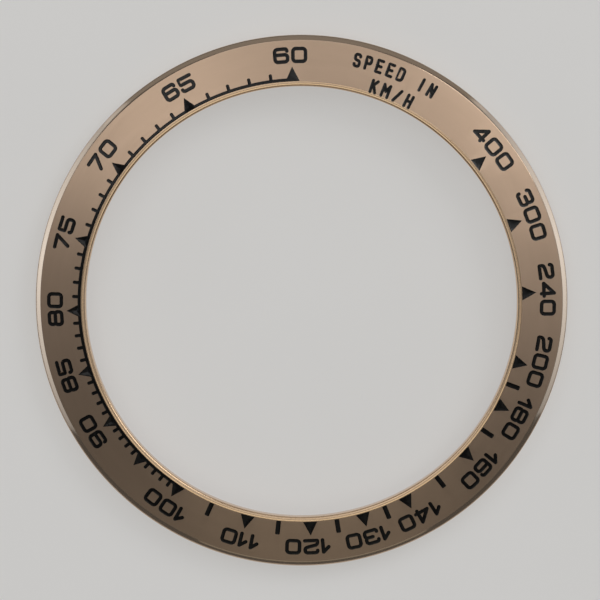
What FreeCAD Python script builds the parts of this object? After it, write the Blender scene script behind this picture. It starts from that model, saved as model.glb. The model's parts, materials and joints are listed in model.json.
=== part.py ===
import FreeCAD, Part
import math
import os
import Sketcher

# Fixed tachymeter bezel of a chronograph, lying on its case seat with its face up.
# The origin is on the ring's axis in the seat plane, +Z leaves the face and +Y points at
# the 60 mark. The scale runs clockwise seen from above.

# Driving sizes in millimetres.
sizes = {
    # section of the ring
    "outer_radius": 19.4,
    "ring_width": 3.7,            # outer wall to bore wall
    "rim_height": 1.6,            # seat to the face's edge over the outer wall
    "face_rise": 1.25,            # how much higher the face's cone stands over the bore
    "bevel_width": 0.36,          # polished bevel round the face
    "bevel_drop": 0.18,           # how far it cuts down the outer wall
    "lip_radius": 0.26,
    "seat_chamfer": 0.12,
    # underside, which goes over the neck of the case
    "ledge_width": 1.05,          # bore wall to counterbore wall
    "counterbore_depth": 1.35,
    "lead_in": 0.15,
    "groove_rise": 0.5,
    "groove_width": 0.35,
    "groove_depth": 0.12,
    # engraved scale
    "engraving_depth": 0.18,
    "lacquer_sink": 0.05,         # face down to the top of the lacquer
    "track_inset": 0.37,          # bore wall to the foot of the marks
    "track_width": 0.23,
    "tick_length": 0.63,
    "tick_width": 0.25,
    "mark_length": 1.05,
    "triangle_width": 1.04,
    "bar_width": 0.32,
    # how far a cutter passes the surface that it cuts
    "overrun": 0.5,
}

# A speed v stands at 60 / v of a full turn from the top.
minute_value = 60
full_turn = 360.0
joined_values = [60, 65, 70, 75, 80, 85, 90, 95, 100]
spread_values = [110, 120, 130, 140, 160, 180, 200, 240, 300, 400]
bar_values = {105: (100, 110), 115: (110, 120), 125: (120, 130), 135: (130, 140),
              150: (140, 160), 170: (160, 180), 190: (180, 200)}
spaces_between_joined = 5

doc = FreeCAD.newDocument("watch_bezel")
sheet = doc.addObject("Spreadsheet::Sheet", "sizes")
for row, (name, value) in enumerate(sizes.items(), start=1):
    sheet.set("A%d" % row, name)
    sheet.set("B%d" % row, str(value))
    sheet.setAlias("B%d" % row, name)
doc.recompute()

# Formulas that several pieces share.
bore_radius = "sizes.outer_radius - sizes.ring_width"
neck_radius = bore_radius + " + sizes.ledge_width"
foot_radius = bore_radius + " + sizes.track_inset"
cutter_height = "sizes.rim_height + sizes.face_rise + sizes.overrun"


def bind(target, formulas):
    for name, formula in formulas.items():
        target.setExpression(name, formula)


def section_sketch(body, name):
    """Empty sketch on the body's XZ plane: across is the radius, up is the height."""
    plane = next(item for item in body.Origin.OriginFeatures if item.Role == "XZ_Plane")
    sketch = body.newObject("Sketcher::SketchObject", name)
    sketch.AttachmentSupport = [(plane, "")]
    sketch.MapMode = "FlatFace"
    return sketch


def add_line(sketch, start, end, guide=False):
    segment = Part.LineSegment(FreeCAD.Vector(*start), FreeCAD.Vector(*end))
    sketch.addGeometry(segment, guide)


def hold(sketch, constraint, name, formula):
    """Named constraint that follows a formula of the sheet."""
    index = sketch.addConstraint(constraint)
    sketch.renameConstraint(index, name)
    sketch.setExpression("Constraints." + name, formula)


def add_size(sketch, kind, first, second, size, way=""):
    """Distance between two points, each a line and an end, held to a named size."""
    distance = Sketcher.Constraint(kind, *first, *second, sizes[size])
    hold(sketch, distance, size + "_" + way if way else size, "sizes." + size)


outer = sizes["outer_radius"]
bore = outer - sizes["ring_width"]
neck = bore + sizes["ledge_width"]
rim = sizes["rim_height"]
crest = rim + sizes["face_rise"]


def make_ring_blank():
    """The turned ring before its face is engraved."""
    body = doc.addObject("PartDesign::Body", "ring_blank")
    section = section_sketch(body, "ring_section")

    # the lip's arc touches the bore wall and the face's line
    slope = math.atan2(sizes["face_rise"], sizes["ring_width"])
    lip = sizes["lip_radius"]
    lip_centre = FreeCAD.Vector(bore + lip, crest - lip * math.tan(slope) - lip / math.cos(slope))
    lip_top = (lip_centre.x + lip * math.sin(slope), lip_centre.y + lip * math.cos(slope))
    ledge = sizes["counterbore_depth"]
    edge = sizes["seat_chamfer"]
    bevel = sizes["bevel_width"]
    drop = sizes["bevel_drop"]
    lead = sizes["lead_in"]
    add_line(section, (neck + lead, 0), (outer - edge, 0))
    add_line(section, (outer - edge, 0), (outer, edge))
    add_line(section, (outer, edge), (outer, rim - drop))
    add_line(section, (outer, rim - drop), (outer - bevel, rim + bevel * math.tan(slope)))
    add_line(section, (outer - bevel, rim + bevel * math.tan(slope)), lip_top)
    circle = Part.Circle(lip_centre, FreeCAD.Vector(0, 0, 1), lip)
    section.addGeometry(Part.ArcOfCircle(circle, math.pi / 2 - slope, math.pi), False)
    add_line(section, (bore, lip_centre.y), (bore, ledge))
    add_line(section, (bore, ledge), (neck, ledge))
    add_line(section, (neck, ledge), (neck, lead))
    add_line(section, (neck, lead), (neck + lead, 0))
    add_line(section, (outer, rim), (bore, crest), guide=True)
    (seat_line, edge_line, wall, bevel_line, face, lip_arc,
     bore_wall, ledge_line, neck_wall, lead_line, cone_line) = range(11)

    for line in (seat_line, edge_line, wall, bevel_line, bore_wall, ledge_line, neck_wall):
        section.addConstraint(Sketcher.Constraint("Coincident", line, 2, line + 1, 1))
    section.addConstraint(Sketcher.Constraint("Coincident", lead_line, 2, seat_line, 1))
    section.addConstraint(Sketcher.Constraint("Tangent", face, 2, lip_arc, 1))
    section.addConstraint(Sketcher.Constraint("Tangent", lip_arc, 2, bore_wall, 1))
    for line in (seat_line, ledge_line):
        section.addConstraint(Sketcher.Constraint("Horizontal", line))
    for line in (wall, bore_wall, neck_wall):
        section.addConstraint(Sketcher.Constraint("Vertical", line))
    for line, end, other in ((seat_line, 1, -1), (face, 1, cone_line), (face, 2, cone_line),
                             (cone_line, 1, wall), (cone_line, 2, bore_wall)):
        section.addConstraint(Sketcher.Constraint("PointOnObject", line, end, other))

    origin = (-1, 1)
    add_size(section, "DistanceX", origin, (wall, 1), "outer_radius")
    add_size(section, "DistanceX", (ledge_line, 1), (wall, 1), "ring_width")
    add_size(section, "DistanceX", (ledge_line, 1), (ledge_line, 2), "ledge_width")
    add_size(section, "DistanceY", origin, (ledge_line, 1), "counterbore_depth")
    add_size(section, "DistanceY", origin, (cone_line, 1), "rim_height")
    add_size(section, "DistanceY", (cone_line, 1), (cone_line, 2), "face_rise")
    add_size(section, "DistanceX", (edge_line, 1), (edge_line, 2), "seat_chamfer", "across")
    add_size(section, "DistanceY", (edge_line, 1), (edge_line, 2), "seat_chamfer", "up")
    add_size(section, "DistanceX", (face, 1), (bevel_line, 1), "bevel_width")
    add_size(section, "DistanceY", (bevel_line, 1), (cone_line, 1), "bevel_drop")
    add_size(section, "DistanceX", (lead_line, 1), (lead_line, 2), "lead_in", "across")
    add_size(section, "DistanceY", (lead_line, 2), (lead_line, 1), "lead_in", "up")
    hold(section, Sketcher.Constraint("Radius", lip_arc, lip), "lip_radius", "sizes.lip_radius")

    turned = body.newObject("PartDesign::Revolution", "turned_ring")
    turned.Profile = section
    turned.ReferenceAxis = (section, ["V_Axis"])
    turned.Angle = full_turn
    doc.recompute()
    if not section.FullyConstrained:
        raise RuntimeError("the ring's section is not fully constrained")
    return body


def cut_undercut(body):
    """Shallow groove in the neck wall, which grips the ridge of the case's neck."""
    volume_before = body.Shape.Volume
    low = sizes["groove_rise"]
    high = low + sizes["groove_width"]
    deep = neck + sizes["groove_depth"]
    section = section_sketch(body, "undercut_section")
    add_line(section, (bore, low), (deep, low))
    add_line(section, (deep, low), (deep, high))
    add_line(section, (deep, high), (bore, high))
    add_line(section, (bore, high), (bore, low))
    bottom, deep_side, top, open_side = range(4)
    for line, following in ((bottom, deep_side), (deep_side, top), (top, open_side),
                            (open_side, bottom)):
        section.addConstraint(Sketcher.Constraint("Coincident", line, 2, following, 1))
    for line in (bottom, top):
        section.addConstraint(Sketcher.Constraint("Horizontal", line))
    for line in (deep_side, open_side):
        section.addConstraint(Sketcher.Constraint("Vertical", line))
    origin = (-1, 1)
    add_size(section, "DistanceY", origin, (bottom, 1), "groove_rise")
    add_size(section, "DistanceY", (deep_side, 1), (deep_side, 2), "groove_width")
    hold(section, Sketcher.Constraint("DistanceX", *origin, bottom, 1, bore),
         "open_radius", bore_radius)
    hold(section, Sketcher.Constraint("DistanceX", *origin, deep_side, 1, deep),
         "deep_radius", neck_radius + " + sizes.groove_depth")
    groove = body.newObject("PartDesign::Groove", "neck_undercut")
    groove.Profile = section
    groove.ReferenceAxis = (section, ["V_Axis"])
    groove.Angle = full_turn
    doc.recompute()
    if body.Shape.Volume >= volume_before:
        raise RuntimeError("the undercut removed nothing")


def make_core(name, drop):
    """Everything within the ring's outline that lies this named size under the face's cone."""
    foot = doc.addObject("Part::Cylinder", name + "_foot")
    bind(foot, {"Radius": "sizes.outer_radius", "Height": "sizes.rim_height - sizes." + drop})
    top = doc.addObject("Part::Cone", name + "_top")
    bind(top, {"Radius1": "sizes.outer_radius", "Radius2": bore_radius,
               "Height": "sizes.face_rise",
               "Placement.Base.z": "sizes.rim_height - sizes." + drop})
    return make_fuse(name, [foot, top])


def make_cut(name, base, tool):
    cut = doc.addObject("Part::Cut", name)
    cut.Base = base
    cut.Tool = tool
    return cut


def make_fuse(name, shapes):
    fuse = doc.addObject("Part::MultiFuse", name)
    fuse.Shapes = shapes
    return fuse


def make_common(name, first, second):
    common = doc.addObject("Part::Common", name)
    common.Base = first
    common.Tool = second
    return common


def turn_of(value):
    """Degrees clockwise from the top. The 95 mark halves the space from 90 to 100."""
    if value == 95:
        return (turn_of(90) + turn_of(100)) / 2
    return full_turn * minute_value / value


def make_mark(name, turn, length, foot_width, tip_width=None):
    """Upright prism of one mark: a bar, or a triangle where it has no tip width."""
    half_tip = "sizes.%s / 2" % tip_width if tip_width else "0 * sizes.%s" % foot_width
    prism = doc.addObject("Part::Wedge", name)
    bind(prism, {"Xmin": "-sizes.%s / 2" % foot_width, "Xmax": "sizes.%s / 2" % foot_width,
                 "X2min": "-(%s)" % half_tip, "X2max": half_tip,
                 "Ymin": foot_radius, "Ymax": foot_radius + " + sizes." + length,
                 "Zmax": cutter_height, "Z2max": cutter_height})
    prism.Zmin = 0
    prism.Z2min = 0
    prism.Placement = FreeCAD.Placement(
        FreeCAD.Vector(), FreeCAD.Rotation(FreeCAD.Vector(0, 0, 1), -turn))
    return prism


def make_triangle(value):
    return make_mark("prism_triangle_%d" % value, turn_of(value), "mark_length", "triangle_width")


def make_bar(value):
    before, after = bar_values[value]
    turn = (turn_of(before) + turn_of(after)) / 2
    return make_mark("prism_bar_%d" % value, turn, "mark_length", "bar_width", "bar_width")


def make_joined_scale():
    """Closely divided stretch: the track, its nine triangles and the ticks between them."""
    track_outer = doc.addObject("Part::Cylinder", "track_outer")
    bind(track_outer, {"Radius": foot_radius + " + sizes.track_width", "Height": cutter_height})
    track_outer.Angle = full_turn - turn_of(joined_values[-1])
    track_outer.Placement = FreeCAD.Placement(
        FreeCAD.Vector(), FreeCAD.Rotation(FreeCAD.Vector(0, 0, 1), full_turn / 4))
    track_inner = doc.addObject("Part::Cylinder", "track_inner")
    bind(track_inner, {"Radius": foot_radius, "Height": cutter_height})
    prisms = [make_cut("track", track_outer, track_inner)]
    for before, after in zip(joined_values, joined_values[1:]):
        for step in range(1, spaces_between_joined):
            share = step / spaces_between_joined
            turn = turn_of(before) + share * (turn_of(after) - turn_of(before))
            prisms.append(make_mark("prism_tick_%d_%d" % (before, step), turn,
                                    "tick_length", "tick_width", "tick_width"))
    prisms += [make_triangle(value) for value in joined_values]
    return make_fuse("prism_scale", prisms)


ring_blank = make_ring_blank()
cut_undercut(ring_blank)
under_engraving = make_core("under_engraving", "engraving_depth")
under_lacquer = make_core("under_lacquer", "lacquer_sink")
lacquer_layer = make_cut("lacquer_layer", under_lacquer, under_engraving)

prisms = {"scale_60_to_100": make_joined_scale()}
prisms.update({"triangle_%d" % value: make_triangle(value) for value in spread_values})
prisms.update({"bar_%d" % value: make_bar(value) for value in bar_values})

all_marks = make_fuse("all_marks", list(prisms.values()))
engraving = make_cut("engraving", all_marks, under_engraving)
pieces = {"bezel_ring": make_cut("bezel_ring", ring_blank, engraving)}
for name, prism in prisms.items():
    pieces[name] = make_common(name, prism, lacquer_layer)
doc.recompute()

for item in doc.Objects:
    if "Invalid" in item.State or "Error" in item.State:
        raise RuntimeError("%s failed: %s" % (item.Label, item.State))
if pieces["bezel_ring"].Shape.Volume >= ring_blank.Shape.Volume:
    raise RuntimeError("the engraving removed nothing")

os.makedirs("parts", exist_ok=True)
for name, piece in pieces.items():
    shape = piece.Shape
    if shape.isNull() or not shape.isValid() or len(shape.Solids) != 1:
        raise RuntimeError("%s is not one sound solid" % name)
    piece.Label = name
    shape.exportStep("parts/%s.step" % name)
    print("%-18s %8.3f mm3" % (name, shape.Volume))
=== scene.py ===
import json
import math

import bmesh
import bpy
from mathutils import Matrix, Vector

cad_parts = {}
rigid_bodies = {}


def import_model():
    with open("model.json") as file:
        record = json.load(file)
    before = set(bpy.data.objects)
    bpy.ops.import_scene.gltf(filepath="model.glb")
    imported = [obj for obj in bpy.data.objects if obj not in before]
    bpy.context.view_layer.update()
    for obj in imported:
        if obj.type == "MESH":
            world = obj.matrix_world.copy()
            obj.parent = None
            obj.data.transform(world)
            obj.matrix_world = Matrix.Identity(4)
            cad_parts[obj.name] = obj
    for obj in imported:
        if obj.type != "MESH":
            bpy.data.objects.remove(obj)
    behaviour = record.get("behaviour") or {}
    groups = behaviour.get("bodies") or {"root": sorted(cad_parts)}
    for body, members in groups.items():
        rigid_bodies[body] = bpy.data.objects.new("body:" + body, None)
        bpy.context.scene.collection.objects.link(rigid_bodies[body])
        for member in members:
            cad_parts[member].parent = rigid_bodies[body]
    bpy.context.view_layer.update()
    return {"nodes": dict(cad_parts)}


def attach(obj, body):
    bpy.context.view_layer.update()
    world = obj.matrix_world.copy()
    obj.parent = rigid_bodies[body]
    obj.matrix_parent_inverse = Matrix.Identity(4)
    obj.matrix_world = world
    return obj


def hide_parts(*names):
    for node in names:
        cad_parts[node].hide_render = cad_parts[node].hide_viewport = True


# Fixed tachymeter bezel, lying on its seat with its face up. Pieces are modelled in
# millimetres and made metres when they are finished. A turn is in degrees clockwise from
# the 60 mark, seen from above.

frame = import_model()
scene = bpy.context.scene
millimetre = 0.001
midway = 0.5  # half the height of a flat mark, before it gets its own depths
bench = bpy.data.collections.new("bench")  # tools and half-made pieces stay here until used
scene.collection.children.link(bench)
print("frame loaded:", len(frame["nodes"]), "CAD nodes")


def meshFrom(bm, name):
    mesh = bpy.data.meshes.new(name)
    bm.to_mesh(mesh)
    bm.free()
    return mesh


def bmeshFrom(mesh):
    bm = bmesh.new()
    bm.from_mesh(mesh)
    return bm


def put(mesh, name, collection):
    thing = bpy.data.objects.new(name, mesh)
    collection.objects.link(thing)
    return thing


def evaluatedMesh(thing):
    bpy.context.view_layer.update()
    graph = bpy.context.evaluated_depsgraph_get()
    return bpy.data.meshes.new_from_object(thing.evaluated_get(graph))


# One boolean of a mesh with any number of others.
def combine(operation, mesh, others):
    tools = bpy.data.collections.new("tools")
    bench.children.link(tools)
    for other in others:
        put(other, "tool", tools)
    thing = put(mesh, "work", bench)
    boolean = thing.modifiers.new("combine", "BOOLEAN")
    boolean.operation = operation
    boolean.operand_type = "COLLECTION"
    boolean.collection = tools
    boolean.solver = "MANIFOLD"
    result = evaluatedMesh(thing)
    for spent in list(tools.objects) + [thing]:
        bpy.data.objects.remove(spent)
    bpy.data.collections.remove(tools)
    return result


roundings = {"cornerSegments": 6, "postSegments": 20}


def roundCorner(bm, corner, radius, steps):
    bmesh.ops.bevel(bm, geom=[corner], offset=radius, offset_type="OFFSET", affect="VERTICES",
                    segments=steps, profile=0.5, material=-1)


# Wire through (x, y, corner radius) points, rounded at its corners.
def roundedWire(points, closed):
    bm = bmesh.new()
    corners = [bm.verts.new((x, y, 0)) for x, y, radius in points]
    ends = corners[1:] + corners[:1] if closed else corners[1:]
    for first, second in zip(corners, ends):
        bm.edges.new((first, second))
    for corner, (x, y, radius) in zip(corners, points):
        if radius:
            roundCorner(bm, corner, radius, roundings["cornerSegments"])
    return bm


def raiseByOne(bm, geometry):
    verts = [item for item in geometry if isinstance(item, bmesh.types.BMVert)]
    bmesh.ops.translate(bm, verts=verts, vec=(0, 0, 1))


# Upright prism of height 1 on a closed outline.
def outlinePrism(points):
    bm = roundedWire(points, True)
    bmesh.ops.contextual_create(bm, geom=bm.edges[:])
    top = bmesh.ops.extrude_face_region(bm, geom=bm.faces[:], use_keep_orig=True)
    raiseByOne(bm, top["geom"])
    bmesh.ops.recalc_face_normals(bm, faces=bm.faces[:])
    return meshFrom(bm, "prism")


# Upright wall of height 1 along a path, with a round post at each open end.
def strokeParts(points, closed, width):
    bm = roundedWire(points, closed)
    wall = bmesh.ops.extrude_edge_only(bm, edges=bm.edges[:])
    raiseByOne(bm, wall["geom"])
    bmesh.ops.recalc_face_normals(bm, faces=bm.faces[:])
    thing = put(meshFrom(bm, "stroke"), "stroke", bench)
    solidify = thing.modifiers.new("width", "SOLIDIFY")
    solidify.thickness = width
    solidify.offset = 0
    solidify.use_even_offset = True
    parts = [evaluatedMesh(thing)]
    bpy.data.objects.remove(thing)
    openEnds = () if closed else (points[0], points[-1])
    for x, y, radius in openEnds:
        bm = bmesh.new()
        bmesh.ops.create_cone(bm, cap_ends=True, segments=roundings["postSegments"],
                              radius1=width / 2, radius2=width / 2, depth=1)
        bmesh.ops.translate(bm, verts=bm.verts[:], vec=(x, y, midway))
        parts.append(meshFrom(bm, "post"))
    return parts


# Sizes in millimetres, the fall of the lip in degrees. The face is a cone, so what stands on
# it is made flat and then laid on it.
ring = {
    "outerRadius": 19.4, "boreRadius": 15.7, "rimHeight": 1.6, "faceRise": 1.25,
    "bevelWidth": 0.36, "bevelDrop": 0.18, "bevelCrown": 0.016, "seatChamfer": 0.12,
    "lipHead": 15.98, "lipFall": 9, "lipSoftness": 0.09, "lipEdge": 0.15,
    "neckRadius": 16.75, "counterboreDepth": 1.35, "leadIn": 0.15,
    "grooveRise": 0.5, "grooveWidth": 0.35, "grooveDepth": 0.12,
    "edgeBreak": 0.02, "crownRounding": 0.2, "turnSteps": 600,
    "edgeSteps": 3, "crownSteps": 8, "lipHeadSteps": 6, "lipEdgeSteps": 12,
    "sharpFrom": 8,  # degrees, between the steps of a rounding and the bevel's corners
}
ring["slope"] = math.atan2(ring["faceRise"], ring["outerRadius"] - ring["boreRadius"])


def faceHeight(radius):
    return ring["rimHeight"] + (ring["outerRadius"] - radius) * math.tan(ring["slope"])


def moveOut(bm, turn, radius):
    bmesh.ops.translate(bm, verts=bm.verts[:], vec=(0, radius, 0))
    bmesh.ops.rotate(bm, verts=bm.verts[:], cent=(0, 0, 0),
                     matrix=Matrix.Rotation(math.radians(-turn), 3, "Z"))


def laidFlat(mesh, turn, radius):
    bm = bmeshFrom(mesh)
    moveOut(bm, turn, radius)
    return meshFrom(bm, "flat")


# Two faces on the same points lie back to back and enclose nothing.
def dropFlaps(bm):
    sharing = {}
    for face in bm.faces:
        sharing.setdefault(frozenset(face.verts), []).append(face)
    flaps = [face for faces in sharing.values() if len(faces) > 1 for face in faces]
    bmesh.ops.delete(bm, geom=flaps, context="FACES")


# Copy of a flat mark with its own depths, turned to its place and laid on the face.
def laidOnFace(mesh, turn, radius=0, low=None, high=None):
    bm = bmeshFrom(mesh)
    if low is not None:
        for vert in bm.verts:
            vert.co.z = high if vert.co.z > midway else low
    wide = [face for face in bm.faces if len(face.verts) > 4]
    bmesh.ops.triangulate(bm, faces=wide, quad_method="BEAUTY", ngon_method="BEAUTY")
    dropFlaps(bm)
    moveOut(bm, turn, radius)
    for vert in bm.verts:
        vert.co.z += faceHeight(vert.co.xy.length)
    return meshFrom(bm, "laid")


engraving = {"depth": 0.18, "above": 0.15}
lacquer = {
    "sink": 0.045,  # below the face at the recess wall
    "dish": ((0.03, 0.007), (0.03, 0.005), (0.025, 0.003)),  # steps inwards and down
    "hollowDepth": 0.105, "hollowWidth": 0.86, "hollowLength": 0.9,  # in a triangle
    "hollowFoot": 0.05, "hollowRise": 0.29, "hollowSink": 0.008,
    # tolerances, and how level a top face is at least
    "merge": 0.001, "straight": 0.002, "onParting": 0.0001, "level": 0.9,
    "deep": (0.001, 0.001, 0.001), "pale": (0.004, 0.0035, 0.003), "gloss": 0.35,
    "roughness": (0.12, 0.22), "lumps": {"Scale": 5000.0, "Detail": 3.0}, "bump": (0.6, 0.00003),
    "sharpFrom": 32,
}


def cutterOf(mesh, turn, radius=0):
    return laidOnFace(mesh, turn, radius, -engraving["depth"], engraving["above"])


# Fill of a recess: the lacquer climbs the walls and sinks in the middle as it dries. A long
# mark is parted at some turns, so that none of its faces winds round the ring.
def fillOf(mesh, partings=()):
    bm = bmeshFrom(mesh)
    for vert in bm.verts:
        vert.co.z = -lacquer["sink"] if vert.co.z > midway else -engraving["depth"]
    bmesh.ops.remove_doubles(bm, verts=bm.verts[:], dist=lacquer["merge"])
    bmesh.ops.dissolve_limit(bm, angle_limit=lacquer["straight"], verts=bm.verts[:],
                             edges=bm.edges[:])
    for turn in partings:
        across = Vector((math.cos(math.radians(turn)), -math.sin(math.radians(turn)), 0))
        bmesh.ops.bisect_plane(bm, geom=bm.verts[:] + bm.edges[:] + bm.faces[:],
                               dist=lacquer["onParting"], plane_co=(0, 0, 0), plane_no=across)
    top = [face for face in bm.faces if face.normal.z > lacquer["level"]
           and face.calc_center_median().z > -engraving["depth"] / 2]
    for inwards, down in lacquer["dish"]:
        bmesh.ops.inset_region(bm, faces=top, thickness=inwards, depth=-down,
                               use_boundary=True, use_even_offset=False)
    return meshFrom(bm, "fill")


marks = {
    "footRadius": 16.07, "trackWidth": 0.23, "tickLength": 0.63, "tickWidth": 0.25,
    "length": 1.05, "triangleWidth": 1.04, "barWidth": 0.345,
    "triangleRounding": 0.035, "barRounding": 0.1, "barFootRounding": 0.06,
    "tickRounding": 0.11,
    "trackSteps": 288, "overlap": 0.012,
    "joined": (60, 65, 70, 75, 80, 85, 90, 95, 100),
    "spread": (110, 120, 130, 140, 160, 180, 200, 240, 300, 400),
    "bars": {105: (100, 110), 115: (110, 120), 125: (120, 130), 135: (130, 140),
             150: (140, 160), 170: (160, 180), 190: (180, 200)},
    "spaces": 5,
}


# Where a second hand is after 3600 / value seconds. The 95 mark halves the space it is in.
def turnOf(value):
    if value == 95:
        return (turnOf(90) + turnOf(100)) / 2
    return 360 * 60 / value


def triangleOutline():
    half = marks["triangleWidth"] / 2
    soft = marks["triangleRounding"]
    return ((-half, 0, soft), (half, 0, soft), (0, marks["length"], soft))


def barOutline(width, length, rounding, footRounding):
    half = width / 2
    return ((-half, 0, footRounding), (half, 0, footRounding),
            (half, length, rounding), (-half, length, rounding))


# Track line from the 60 mark round to the 100 mark.
def trackPrism():
    bm = bmesh.new()
    foot = bm.verts.new((0, marks["footRadius"], 0))
    head = bm.verts.new((0, marks["footRadius"] + marks["trackWidth"], 0))
    start = bm.edges.new((foot, head))
    bmesh.ops.spin(bm, geom=[foot, head, start], cent=(0, 0, 0), axis=(0, 0, 1), dvec=(0, 0, 0),
                   angle=math.radians(360 - turnOf(100)), steps=marks["trackSteps"],
                   use_merge=False)
    top = bmesh.ops.extrude_face_region(bm, geom=bm.faces[:], use_keep_orig=True)
    raiseByOne(bm, top["geom"])
    bmesh.ops.recalc_face_normals(bm, faces=bm.faces[:])
    return meshFrom(bm, "track")


# Three-sided hollow, point down, that gives a triangle's lacquer its facets.
def hollow(turn):
    half = marks["triangleWidth"] / 2 * lacquer["hollowWidth"]
    foot = lacquer["hollowFoot"]
    head = marks["length"] * lacquer["hollowLength"]
    bm = bmesh.new()
    corners = [bm.verts.new((x, y, 0)) for x, y in ((-half, foot), (half, foot), (0, head))]
    bm.faces.new(corners)
    centre = bm.verts.new((0, foot + lacquer["hollowRise"], -lacquer["hollowDepth"]))
    for first, second in zip(corners, corners[1:] + corners[:1]):
        bm.faces.new((first, centre, second))
    bmesh.ops.translate(bm, verts=bm.verts[:],
                        vec=(0, 0, -lacquer["sink"] - lacquer["hollowSink"]))
    bmesh.ops.recalc_face_normals(bm, faces=bm.faces[:])
    return laidFlat(meshFrom(bm, "hollow"), turn, marks["footRadius"])


cutters = []
fills = {}
triangle = outlinePrism(triangleOutline())
tick = outlinePrism(barOutline(marks["tickWidth"], marks["tickLength"],
                               marks["tickRounding"], 0))
bar = outlinePrism(barOutline(marks["barWidth"], marks["length"],
                              marks["barRounding"], marks["barFootRounding"]))

joinedFoot = marks["footRadius"] + marks["overlap"]  # so that no two edges fall together
scaleParts = [laidFlat(triangle, turnOf(value), joinedFoot) for value in marks["joined"]]
partings = []
for before, after in zip(marks["joined"], marks["joined"][1:]):
    space = (turnOf(after) - turnOf(before)) / marks["spaces"]
    for step in range(1, marks["spaces"]):
        scaleParts.append(laidFlat(tick, turnOf(before) + step * space, joinedFoot))
    partings += [turnOf(before) + (step + 0.5) * space for step in range(marks["spaces"])]
joinedScale = combine("UNION", trackPrism(), scaleParts)
cutters.append(cutterOf(joinedScale, 0))
scaleFill = combine("DIFFERENCE", fillOf(joinedScale, partings),
                    [hollow(turnOf(value)) for value in marks["joined"]])
fills["scale_60_to_100"] = laidOnFace(scaleFill, 0)
for value in marks["spread"]:
    flat = laidFlat(triangle, turnOf(value), marks["footRadius"])
    cutters.append(cutterOf(flat, 0))
    fills["triangle_%d" % value] = laidOnFace(
        combine("DIFFERENCE", fillOf(flat), [hollow(turnOf(value))]), 0)
for value, (before, after) in marks["bars"].items():
    turn = (turnOf(before) + turnOf(after)) / 2
    cutters.append(cutterOf(bar, turn, marks["footRadius"]))
    fills["bar_%d" % value] = laidOnFace(fillOf(bar), turn, marks["footRadius"])
print("scale marks made:", len(fills))

# Squared numerals. A stroke is (closed, points), a point is (across, up, corner radius),
# with across and up from -1 to 1 over the skeleton of the character.
numerals = {
    "halfWidth": 0.4575, "halfHeight": 0.4625, "stroke": 0.272, "gap": 0.133,
    "middleRadius": 17.96,
    "strokes": {
        "0": ((True, ((-1, -1, 0.22), (1, -1, 0.22), (1, 1, 0.22), (-1, 1, 0.22))),),
        "1": ((False, ((0.28, -1, 0), (0.28, 1, 0))), (False, ((0.28, 1, 0), (-0.62, 0.2, 0)))),
        "2": ((False, ((-1, 0.64, 0), (-1, 1, 0.16), (1, 1, 0.2), (1, 0.16, 0.17),
                       (-1, -0.3, 0.16), (-1, -1, 0.04), (1, -1, 0))),),
        "3": ((False, ((-1, 0.66, 0), (-1, 1, 0.15), (0.94, 1, 0.2), (0.94, 0.04, 0.17),
                       (-0.2, 0.04, 0))),
              (False, ((-0.2, 0.04, 0), (1, 0.04, 0.17), (1, -1, 0.21), (-1, -1, 0.15),
                       (-1, -0.66, 0)))),
        "4": ((False, ((0.62, -1, 0), (0.62, 1, 0))), (False, ((0.62, 1, 0), (-1, -0.6, 0))),
              (False, ((-1, -0.6, 0), (1.02, -0.6, 0)))),
        "5": ((False, ((1, 1, 0), (-0.96, 1, 0.03), (-0.96, 0.1, 0.05), (1, 0.1, 0.21),
                       (1, -1, 0.21), (-1, -1, 0.15), (-1, -0.68, 0))),),
        "6": ((True, ((-1, -1, 0.21), (1, -1, 0.21), (1, 0.1, 0.19), (-1, 0.1, 0.05))),
              (False, ((-1, -0.3, 0), (-1, 1, 0.22), (0.96, 1, 0.15), (0.96, 0.66, 0)))),
        "7": ((False, ((-1, 1, 0), (0.96, 1, 0))), (False, ((0.96, 1, 0), (-0.36, -1, 0)))),
        "8": ((True, ((-1, -1, 0.2), (1, -1, 0.2), (1, 0.04, 0.16), (-1, 0.04, 0.16))),
              (True, ((-0.94, 0.04, 0.15), (0.94, 0.04, 0.15), (0.94, 1, 0.19),
                      (-0.94, 1, 0.19)))),
    },
    # where each number stands, degrees from its mark
    "offsets": {60: -0.35, 65: 0.08, 70: -0.07, 75: 0.25, 80: 0.44, 85: 0.5, 90: 0.27,
                100: -0.04, 110: 0.4, 120: 0.78, 130: 0.34, 140: -0.89, 160: 0.56, 180: 0.68,
                200: -1.53, 240: -0.53, 300: -0.39, 400: -0.59},
}
# The 9 is the 6 turned over.
numerals["strokes"]["9"] = tuple(
    (closed, tuple((-x, -y, radius) for x, y, radius in points))
    for closed, points in numerals["strokes"]["6"])

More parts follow.
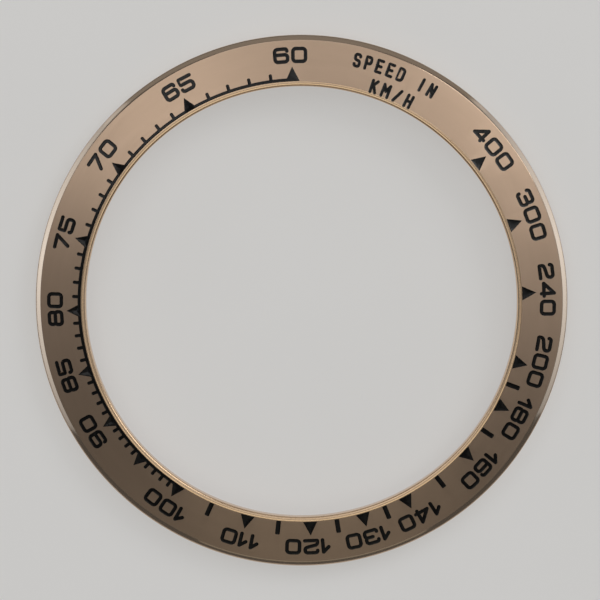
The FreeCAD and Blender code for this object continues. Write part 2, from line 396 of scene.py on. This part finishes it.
# Plain narrow capitals for the two short lines.
legend = {
    "halfWidth": 0.18, "halfHeight": 0.425, "stroke": 0.23,
    "strokes": {
        "S": ((False, ((1, 0.66, 0), (1, 1, 0.13), (-1, 1, 0.13), (-1, 0.08, 0.13),
                       (1, -0.08, 0.13), (1, -1, 0.13), (-1, -1, 0.13), (-1, -0.66, 0))),),
        "P": ((True, ((-1, 1, 0.03), (-1, -0.1, 0.03), (1, -0.1, 0.15), (1, 1, 0.15))),
              (False, ((-1, 0.5, 0), (-1, -1, 0)))),
        "E": ((False, ((1, 1, 0), (-1, 1, 0.03), (-1, -1, 0.03), (1, -1, 0))),
              (False, ((-1, 0, 0), (0.7, 0, 0)))),
        "D": ((True, ((-1, -1, 0.03), (1, -1, 0.19), (1, 1, 0.19), (-1, 1, 0.03))),),
        "I": ((False, ((0, -1, 0), (0, 1, 0))),),
        "N": ((False, ((-1, -1, 0), (-1, 1, 0))), (False, ((-1, 1, 0), (1, -1, 0))),
              (False, ((1, -1, 0), (1, 1, 0)))),
        "K": ((False, ((-1, -1, 0), (-1, 1, 0))), (False, ((-1, -0.15, 0), (1, 1, 0))),
              (False, ((-0.3, 0.2, 0), (1, -1, 0)))),
        "M": ((False, ((-1.25, -1, 0), (-1.25, 1, 0))), (False, ((-1.25, 1, 0), (0, -0.1, 0))),
              (False, ((0, -0.1, 0), (1.25, 1, 0))), (False, ((1.25, 1, 0), (1.25, -1, 0)))),
        "/": ((False, ((-1, -1, 0), (1, 1, 0))),),
        "H": ((False, ((-1, -1, 0), (-1, 1, 0))), (False, ((1, -1, 0), (1, 1, 0))),
              (False, ((-1, 0, 0), (1, 0, 0)))),
    },
    # words, radius, turn of the first letter, degrees from a letter to the next
    "lines": {
        "legend_upper": ("SPEED IN", 18.035, 15.3, 2.66),
        "legend_lower": ("KM/H", 16.535, 20.9, 3.15),
    },
}


def characterPrism(style, character):
    across, up = style["halfWidth"], style["halfHeight"]
    parts = []
    for closed, points in style["strokes"][character]:
        sized = [(x * across, y * up, radius) for x, y, radius in points]
        parts += strokeParts(sized, closed, style["stroke"])
    mesh = combine("UNION", parts[0], parts[1:]) if len(parts) > 1 else parts[0]
    bm = bmeshFrom(mesh)
    left = min(vert.co.x for vert in bm.verts)
    right = max(vert.co.x for vert in bm.verts)
    bm.free()
    return mesh, left, right


def joinMeshes(meshes):
    bm = bmesh.new()
    for mesh in meshes:
        bm.from_mesh(mesh)
    return meshFrom(bm, "joined")


digits = {character: characterPrism(numerals, character) for character in "0123456789"}
digitFills = {character: fillOf(digits[character][0]) for character in digits}
for value, offset in numerals["offsets"].items():
    word = str(value)
    total = sum(digits[c][2] - digits[c][1] for c in word) + numerals["gap"] * (len(word) - 1)
    edge = -total / 2
    laid = []
    for character in word:
        mesh, left, right = digits[character]
        turn = turnOf(value) + offset + math.degrees((edge - left) / numerals["middleRadius"])
        cutters.append(cutterOf(mesh, turn, numerals["middleRadius"]))
        laid.append(laidOnFace(digitFills[character], turn, numerals["middleRadius"]))
        edge += right - left + numerals["gap"]
    fills["numeral_%d" % value] = joinMeshes(laid)
for name, (words, radius, turn, pitch) in legend["lines"].items():
    laid = []
    for character in words:
        if character != " ":
            mesh = characterPrism(legend, character)[0]
            cutters.append(cutterOf(mesh, turn, radius))
            laid.append(laidOnFace(fillOf(mesh), turn, radius))
        turn += pitch
    fills[name] = joinMeshes(laid)
print("numerals and lettering made:", len(fills), "fills,", len(cutters), "recesses")


# Section of the ring as corners, each with its rounding and the steps of that, turned about
# the axis. The polished lip falls a little towards the bore and rolls over its edge.
def ringBlank():
    outer, bore, neck = ring["outerRadius"], ring["boreRadius"], ring["neckRadius"]
    soft, ledge = ring["edgeBreak"], ring["counterboreDepth"]
    groove, deep = ring["grooveRise"] + ring["grooveWidth"], neck + ring["grooveDepth"]
    few = ring["edgeSteps"]
    bevelHead = outer - ring["bevelWidth"]
    bevelTop, bevelFoot = faceHeight(bevelHead), ring["rimHeight"] - ring["bevelDrop"]
    lean = math.atan2(bevelTop - bevelFoot, ring["bevelWidth"])
    crown = (bevelHead + ring["bevelWidth"] / 2 + ring["bevelCrown"] * math.sin(lean),
             (bevelTop + bevelFoot) / 2 + ring["bevelCrown"] * math.cos(lean))
    lipHeight = faceHeight(ring["lipHead"])
    lipDrop = (ring["lipHead"] - bore) * math.tan(math.radians(ring["lipFall"]))
    section = (
        (bore, lipHeight - lipDrop, ring["lipEdge"], ring["lipEdgeSteps"]),
        (bore, ledge, soft, few), (neck, ledge, soft / 2, few), (neck, groove, soft, few),
        (deep, groove, soft / 2, few), (deep, ring["grooveRise"], soft / 2, few),
        (neck, ring["grooveRise"], soft, few), (neck, ring["leadIn"], soft, few),
        (neck + ring["leadIn"], 0, soft, few), (outer - ring["seatChamfer"], 0, soft, few),
        (outer, ring["seatChamfer"], soft, few), (outer, bevelFoot, soft, few),
        (*crown, ring["crownRounding"], ring["crownSteps"]), (bevelHead, bevelTop, soft / 2, 1),
        (ring["lipHead"], lipHeight, ring["lipSoftness"], ring["lipHeadSteps"]),
    )
    bm = bmesh.new()
    points = [bm.verts.new((radius, 0, height)) for radius, height, rounding, steps in section]
    for first, second in zip(points, points[1:] + points[:1]):
        bm.edges.new((first, second))
    for point, (radius, height, rounding, steps) in zip(points, section):
        roundCorner(bm, point, rounding, steps)
    bmesh.ops.spin(bm, geom=bm.verts[:] + bm.edges[:], cent=(0, 0, 0), axis=(0, 0, 1),
                   dvec=(0, 0, 0), angle=2 * math.pi, steps=ring["turnSteps"], use_merge=True)
    bmesh.ops.recalc_face_normals(bm, faces=bm.faces[:])
    return meshFrom(bm, "blank")


blank = ringBlank()
print("ring turned:", len(blank.vertices), "points")
engraved = combine("DIFFERENCE", blank, cutters)
print("ring engraved:", len(engraved.vertices), "points")


# Materials. Object coordinates are metres from the ring's axis.
def newMaterial(name, settings):
    material = bpy.data.materials.new(name)
    material.use_nodes = True
    shader = material.node_tree.nodes["Principled BSDF"]
    for socket, value in settings.items():
        shader.inputs[socket].default_value = value
    return material, shader


def addNode(shader, kind, settings=None, inputs=None):
    node = shader.id_data.nodes.new(kind)
    for name, value in (settings or {}).items():
        setattr(node, name, value)
    for socket, value in (inputs or {}).items():
        if isinstance(value, bpy.types.NodeSocket):
            shader.id_data.links.new(value, node.inputs[socket])
        else:
            node.inputs[socket].default_value = value
    return node


# Grain that runs round the axis: long along a turn, fine across it.
def lathedGrain(shader, perTurn, perMetre, detail):
    place = addNode(shader, "ShaderNodeTexCoord")
    flat = addNode(shader, "ShaderNodeVectorMath", {"operation": "MULTIPLY"},
                   {0: place.outputs["Object"], 1: (1, 1, 0)})
    heading = addNode(shader, "ShaderNodeVectorMath", {"operation": "NORMALIZE"},
                      {0: flat.outputs["Vector"]})
    around = addNode(shader, "ShaderNodeVectorMath", {"operation": "SCALE"},
                     {0: heading.outputs["Vector"], "Scale": perTurn})
    radius = addNode(shader, "ShaderNodeVectorMath", {"operation": "LENGTH"},
                     {0: flat.outputs["Vector"]})
    height = addNode(shader, "ShaderNodeSeparateXYZ", None, {0: place.outputs["Object"]})
    across = addNode(shader, "ShaderNodeMath", {"operation": "SUBTRACT"},
                     {0: radius.outputs["Value"], 1: height.outputs["Z"]})
    fine = addNode(shader, "ShaderNodeMath", {"operation": "MULTIPLY"},
                   {0: across.outputs["Value"], 1: perMetre})
    lift = addNode(shader, "ShaderNodeCombineXYZ", None, {"Z": fine.outputs["Value"]})
    spot = addNode(shader, "ShaderNodeVectorMath", {"operation": "ADD"},
                   {0: around.outputs["Vector"], 1: lift.outputs["Vector"]})
    grain = addNode(shader, "ShaderNodeTexNoise", {"noise_dimensions": "3D"},
                    {"Vector": spot.outputs["Vector"], "Scale": 1.0, "Detail": detail,
                     "Roughness": gold["grainRoughness"]})
    return grain.outputs["Fac"]


noiseSpan = (0.3, 0.7)  # what most of a noise lies between


def mapped(shader, value, low, high):
    node = addNode(shader, "ShaderNodeMapRange", None,
                   {"Value": value, "From Min": noiseSpan[0], "From Max": noiseSpan[1],
                    "To Min": low, "To Max": high})
    return node.outputs["Result"]


def colourBetween(shader, value, first, second):
    ramp = addNode(shader, "ShaderNodeValToRGB", None, {"Fac": value})
    for element, position, colour in zip(ramp.color_ramp.elements, noiseSpan, (first, second)):
        element.position = position
        element.color = (*colour, 1)
    return ramp.outputs["Color"]


def addBump(shader, height, strength, depth):
    bump = addNode(shader, "ShaderNodeBump", None,
                   {"Strength": strength, "Distance": depth, "Height": height})
    shader.id_data.links.new(bump.outputs["Normal"], shader.inputs["Normal"])


def link(shader, value, socket):
    shader.id_data.links.new(value, shader.inputs[socket])


gold = {
    "light": (0.62, 0.448, 0.322), "deep": (0.59, 0.424, 0.303),
    # the lip's gold is lighter than the satin gold: painted sheen, standing in for the brighter
    # look of its polish under the lamps
    "lipSheenLight": (0.74, 0.53, 0.35), "lipSheenDeep": (0.71, 0.5, 0.32),
    "satinRoughness": (0.31, 0.37), "lipRoughness": (0.17, 0.23), "bevelRoughness": (0.08, 0.12),
    # the bevel's paler, brighter gold is a painted highlight of the cool side lamps
    "bevelHighlightLight": (0.68, 0.52, 0.385), "bevelHighlightDeep": (0.66, 0.5, 0.365),
    "turnedRoughness": (0.22, 0.34),
    # the darker, browner gold in the engraved recesses is painted shade
    "recessShadeLight": (0.6, 0.38, 0.22), "recessShadeDeep": (0.4, 0.24, 0.13), "recessRoughness": 0.35,
    "satinStretch": 0.35, "turnedStretch": 0.5, "grainRoughness": 0.55,
    # grain: how often round the ring, how often in a metre across it, detail
    "satinGrain": (5.0, 30000.0, 4.0), "satinCloud": (3.0, 900.0, 3.0),
    "polishHaze": (4.0, 6000.0, 3.0), "turnedGrain": (0.4, 14000.0, 2.0),
    "recessCloud": (40.0, 20000.0, 3.0),
    # bump: strength, height in metres
    "satinBump": (0.15, 0.000002), "polishBump": (0.1, 0.000001), "turnedBump": (0.5, 0.00001),
}


def satinGold():
    material, shader = newMaterial("satinGold", {
        "Metallic": 1.0, "Anisotropic": gold["satinStretch"]})
    grain = lathedGrain(shader, *gold["satinGrain"])
    cloud = lathedGrain(shader, *gold["satinCloud"])
    link(shader, colourBetween(shader, cloud, gold["deep"], gold["light"]), "Base Color")
    link(shader, mapped(shader, grain, *gold["satinRoughness"]), "Roughness")
    addBump(shader, grain, *gold["satinBump"])
    return material


# The lip, or the bevel. Both are lighter copies of the same gold: the lip's colour holds painted
# sheen, and the bevel's paler, brighter colour is a painted highlight of the side lamps.
def polishedGold(name, deep, light, roughness):
    material, shader = newMaterial(name, {"Metallic": 1.0})
    haze = lathedGrain(shader, *gold["polishHaze"])
    link(shader, colourBetween(shader, haze, gold[deep], gold[light]), "Base Color")
    link(shader, mapped(shader, haze, *gold[roughness]), "Roughness")
    addBump(shader, haze, *gold["polishBump"])
    return material


def turnedGold():
    material, shader = newMaterial("turnedGold", {
        "Metallic": 1.0, "Anisotropic": gold["turnedStretch"]})
    rings = lathedGrain(shader, *gold["turnedGrain"])
    link(shader, colourBetween(shader, rings, gold["deep"], gold["light"]), "Base Color")
    link(shader, mapped(shader, rings, *gold["turnedRoughness"]), "Roughness")
    addBump(shader, rings, *gold["turnedBump"])
    return material


# Walls of the engraved recesses, in a darker, browner gold: painted shade.
def recessGold():
    material, shader = newMaterial("recessGold", {
        "Metallic": 1.0, "Roughness": gold["recessRoughness"]})
    cloud = lathedGrain(shader, *gold["recessCloud"])
    colour = colourBetween(shader, cloud, gold["recessShadeDeep"], gold["recessShadeLight"])
    link(shader, colour, "Base Color")
    return material


def blackLacquer():
    material, shader = newMaterial("blackLacquer", {
        "Specular IOR Level": lacquer["gloss"]})
    place = addNode(shader, "ShaderNodeTexCoord")
    noise = addNode(shader, "ShaderNodeTexNoise", None,
                    {"Vector": place.outputs["Object"], **lacquer["lumps"]})
    lumps = noise.outputs["Fac"]
    link(shader, colourBetween(shader, lumps, lacquer["deep"], lacquer["pale"]), "Base Color")
    link(shader, mapped(shader, lumps, *lacquer["roughness"]), "Roughness")
    addBump(shader, lumps, *lacquer["bump"])
    return material


ringMaterials = (satinGold(),
                 polishedGold("polishedLipSheen", "lipSheenDeep", "lipSheenLight", "lipRoughness"),
                 turnedGold(), recessGold(),
                 polishedGold("bevelPaintedHighlight", "bevelHighlightDeep", "bevelHighlightLight", "bevelRoughness"))
satinFace, polishedLipSheen, turnedFoot, shadedRecessWall, bevelPaintedHighlight = range(len(ringMaterials))
black = blackLacquer()


def finishPiece(mesh, name, materials, sharpFrom, node=None):
    mesh.materials.clear()
    for material in materials:
        mesh.materials.append(material)
    mesh.transform(Matrix.Scale(millimetre, 4))
    mesh.shade_smooth()
    mesh.set_sharp_from_angle(angle=math.radians(sharpFrom))
    piece = put(mesh, name, scene.collection)
    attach(piece, "root")
    if node:
        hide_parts(node)
    return piece


# How far a face may lie off the surface whose finish it takes, in millimetres and degrees.
margins = {
    "offFace": 0.004, "offSlope": 1, "besideBevel": 0.02, "underBevel": 0.03,
    "besideLip": 0.01, "overRecess": 0.2, "overLedge": 0.05, "besideBore": 0.02,
    "besideRim": 0.03,
}


# Each face of the ring gets the finish of the surface that it lies on.
def ringFinish(centre, normal):
    radius = centre.xy.length
    outwards = Vector((centre.x, centre.y, 0)).normalized()
    lean = math.degrees(math.atan2(normal.dot(outwards), normal.z))
    onFace = abs(centre.z - faceHeight(radius)) < margins["offFace"]
    if onFace and abs(lean - math.degrees(ring["slope"])) < margins["offSlope"]:
        return satinFace
    ledge, bevelFoot = ring["counterboreDepth"], ring["rimHeight"] - ring["bevelDrop"]
    bevelStart = ring["outerRadius"] - ring["bevelWidth"] - margins["besideBevel"]
    if radius > bevelStart and centre.z > bevelFoot - margins["underBevel"]:
        return bevelPaintedHighlight
    lipStart = ring["lipHead"] + ring["lipSoftness"] - margins["besideLip"]
    if lipStart < radius < bevelStart and centre.z > ledge + margins["overRecess"]:
        return shadedRecessWall
    if radius < ring["boreRadius"] + margins["besideBore"]:
        return polishedLipSheen
    if centre.z > ledge + margins["overLedge"]:
        return polishedLipSheen
    if radius > ring["outerRadius"] - margins["besideRim"] and centre.z > ring["seatChamfer"]:
        return polishedLipSheen
    return turnedFoot


finishIndex = [ringFinish(polygon.center, polygon.normal) for polygon in engraved.polygons]
ringPiece = finishPiece(engraved, "ring", ringMaterials, ring["sharpFrom"],
                        "bezel_ring")
ringPiece.data.polygons.foreach_set("material_index", finishIndex)
for name, mesh in fills.items():
    finishPiece(mesh, "lacquer_" + name, (black,), lacquer["sharpFrom"],
                name if name in frame["nodes"] else None)
bpy.data.collections.remove(bench)
print("pieces finished")


# The floor takes the object's shadow. Seen directly or in the metal, part of it shows its own
# pale colour at full strength.
floorLook = {
    "size": 3.0, "below": 0.00001, "colour": (0.80, 0.79, 0.775), "shade": 0.985,
    "mottling": {"Scale": 60.0, "Detail": 4.0}, "roughness": 0.7, "shown": 0.5, "glow": 1.0,
}


def makeFloor():
    bm = bmesh.new()
    bmesh.ops.create_grid(bm, x_segments=2, y_segments=2, size=floorLook["size"] / 2)
    bmesh.ops.translate(bm, verts=bm.verts[:], vec=(0, 0, -floorLook["below"]))
    floor = put(meshFrom(bm, "floor"), "floor", scene.collection)
    material, shader = newMaterial("paleFloor", {"Roughness": floorLook["roughness"]})
    place = addNode(shader, "ShaderNodeTexCoord")
    cloud = addNode(shader, "ShaderNodeTexNoise", None,
                    {"Vector": place.outputs["Object"], **floorLook["mottling"]})
    pale = floorLook["colour"]
    colour = colourBetween(shader, cloud.outputs["Fac"], pale,
                           tuple(part * floorLook["shade"] for part in pale))
    link(shader, colour, "Base Color")
    path = addNode(shader, "ShaderNodeLightPath")
    seen = path.outputs["Is Camera Ray"]
    for ray in ("Is Glossy Ray", "Is Transmission Ray"):
        seen = addNode(shader, "ShaderNodeMath", {"operation": "MAXIMUM"},
                       {0: seen, 1: path.outputs[ray]}).outputs["Value"]
    share = addNode(shader, "ShaderNodeMath", {"operation": "MULTIPLY"},
                    {0: seen, 1: floorLook["shown"]})
    glow = addNode(shader, "ShaderNodeEmission", None,
                   {"Color": colour, "Strength": floorLook["glow"]})
    both = addNode(shader, "ShaderNodeMixShader", None,
                   {0: share.outputs["Value"], 1: shader.outputs["BSDF"],
                    2: glow.outputs["Emission"]})
    output = material.node_tree.nodes["Material Output"]
    material.node_tree.links.new(both.outputs["Shader"], output.inputs["Surface"])
    floor.data.materials.append(material)


makeFloor()

# Soft boxes: turn and zenith angle in degrees, sides in metres, power in watts.
lampDistance = 0.9
lamps = {
    "over": (0, 1, 0.8, 0.8, 0.41),
    "overBottom": (180, 18, 0.6, 0.36, 0.45),
    "overTop": (0, 18, 0.6, 0.36, 0.36),
    "top": (0, 50, 0.5, 0.42, 0.43),
    "topLow": (0, 78, 2.0, 0.2, 0.23),
    "topRight": (49, 54, 0.5, 0.36, 1.42),
    "upperRight": (58, 37, 0.42, 0.3, 0.15),
    "topLeft": (318, 40, 0.5, 0.34, 0.51),
    "rightMid": (92, 40, 0.45, 0.3, 0.1),
    "leftMid": (275, 40, 0.45, 0.3, 0.05),
    "right": (83, 80, 1.4, 0.25, 0.35),
    "left": (279, 80, 1.45, 0.25, 0.37),
    "bottom": (180, 42, 0.5, 0.26, 0.065),
    "bottomLow": (180, 72, 0.8, 0.3, 0.17),
}
# The two at the sides are a little cool and shine less widely, three at the foot are warm.
plainTint, coolTint, warmTint = (1, 1, 1), (0.77, 0.87, 1.0), (1.0, 0.97, 0.84)
lampTint = {
    "right": coolTint, "left": coolTint,
    "overBottom": warmTint, "bottom": warmTint, "bottomLow": warmTint,
}
wholeSpread, narrowSpread = 180, 95
lampSpread = {"right": narrowSpread, "left": narrowSpread}


def makeLamps():
    for name, (turn, zenith, wide, high, power) in lamps.items():
        light = bpy.data.lights.new(name, "AREA")
        light.shape = "RECTANGLE"
        light.size = wide
        light.size_y = high
        light.energy = power
        light.color = lampTint.get(name, plainTint)
        light.spread = math.radians(lampSpread.get(name, wholeSpread))
        lamp = bpy.data.objects.new(name, light)
        scene.collection.objects.link(lamp)
        side = math.radians(turn)
        rise = math.radians(90 - zenith)
        heading = Vector((math.sin(side) * math.cos(rise), math.cos(side) * math.cos(rise),
                          math.sin(rise)))
        lamp.location = heading * lampDistance
        lamp.rotation_euler = (-lamp.location).to_track_quat("-Z", "Y").to_euler()


makeLamps()
studio = {"colour": (1, 1, 1, 1), "strength": 0.1}
world = bpy.data.worlds.new("studio")
world.use_nodes = True
background = world.node_tree.nodes["Background"]
background.inputs["Color"].default_value = studio["colour"]
background.inputs["Strength"].default_value = studio["strength"]
scene.world = world
scene.view_settings.view_transform = "Standard"

# Camera, nearly straight above the ring. Distances in metres, angles in degrees, the lens and
# its sensor in millimetres.
view = {
    "distance": 0.45, "towardsTop": 3.5, "towardsRight": 0.53, "roll": 2.28,
    "aim": (-0.000108, 0.000072, 0.0014), "lens": 369.96, "sensor": 36, "nearest": 0.01,
}


def makeCamera():
    lens = bpy.data.cameras.new("camera")
    lens.lens = view["lens"]
    lens.sensor_width = view["sensor"]
    lens.clip_start = view["nearest"]
    camera = bpy.data.objects.new("camera", lens)
    scene.collection.objects.link(camera)
    aim = Vector(view["aim"])
    direction = Vector((math.tan(math.radians(view["towardsRight"])),
                        math.tan(math.radians(view["towardsTop"])), 1)).normalized()
    camera.location = aim + direction * view["distance"]
    sideways = Vector((0, 1, 0)).cross(direction).normalized()
    upright = Matrix((sideways, direction.cross(sideways), direction)).transposed().to_4x4()
    roll = Matrix.Rotation(math.radians(-view["roll"]), 4, "Z")
    camera.matrix_world = Matrix.Translation(camera.location) @ upright @ roll
    scene.camera = camera


makeCamera()
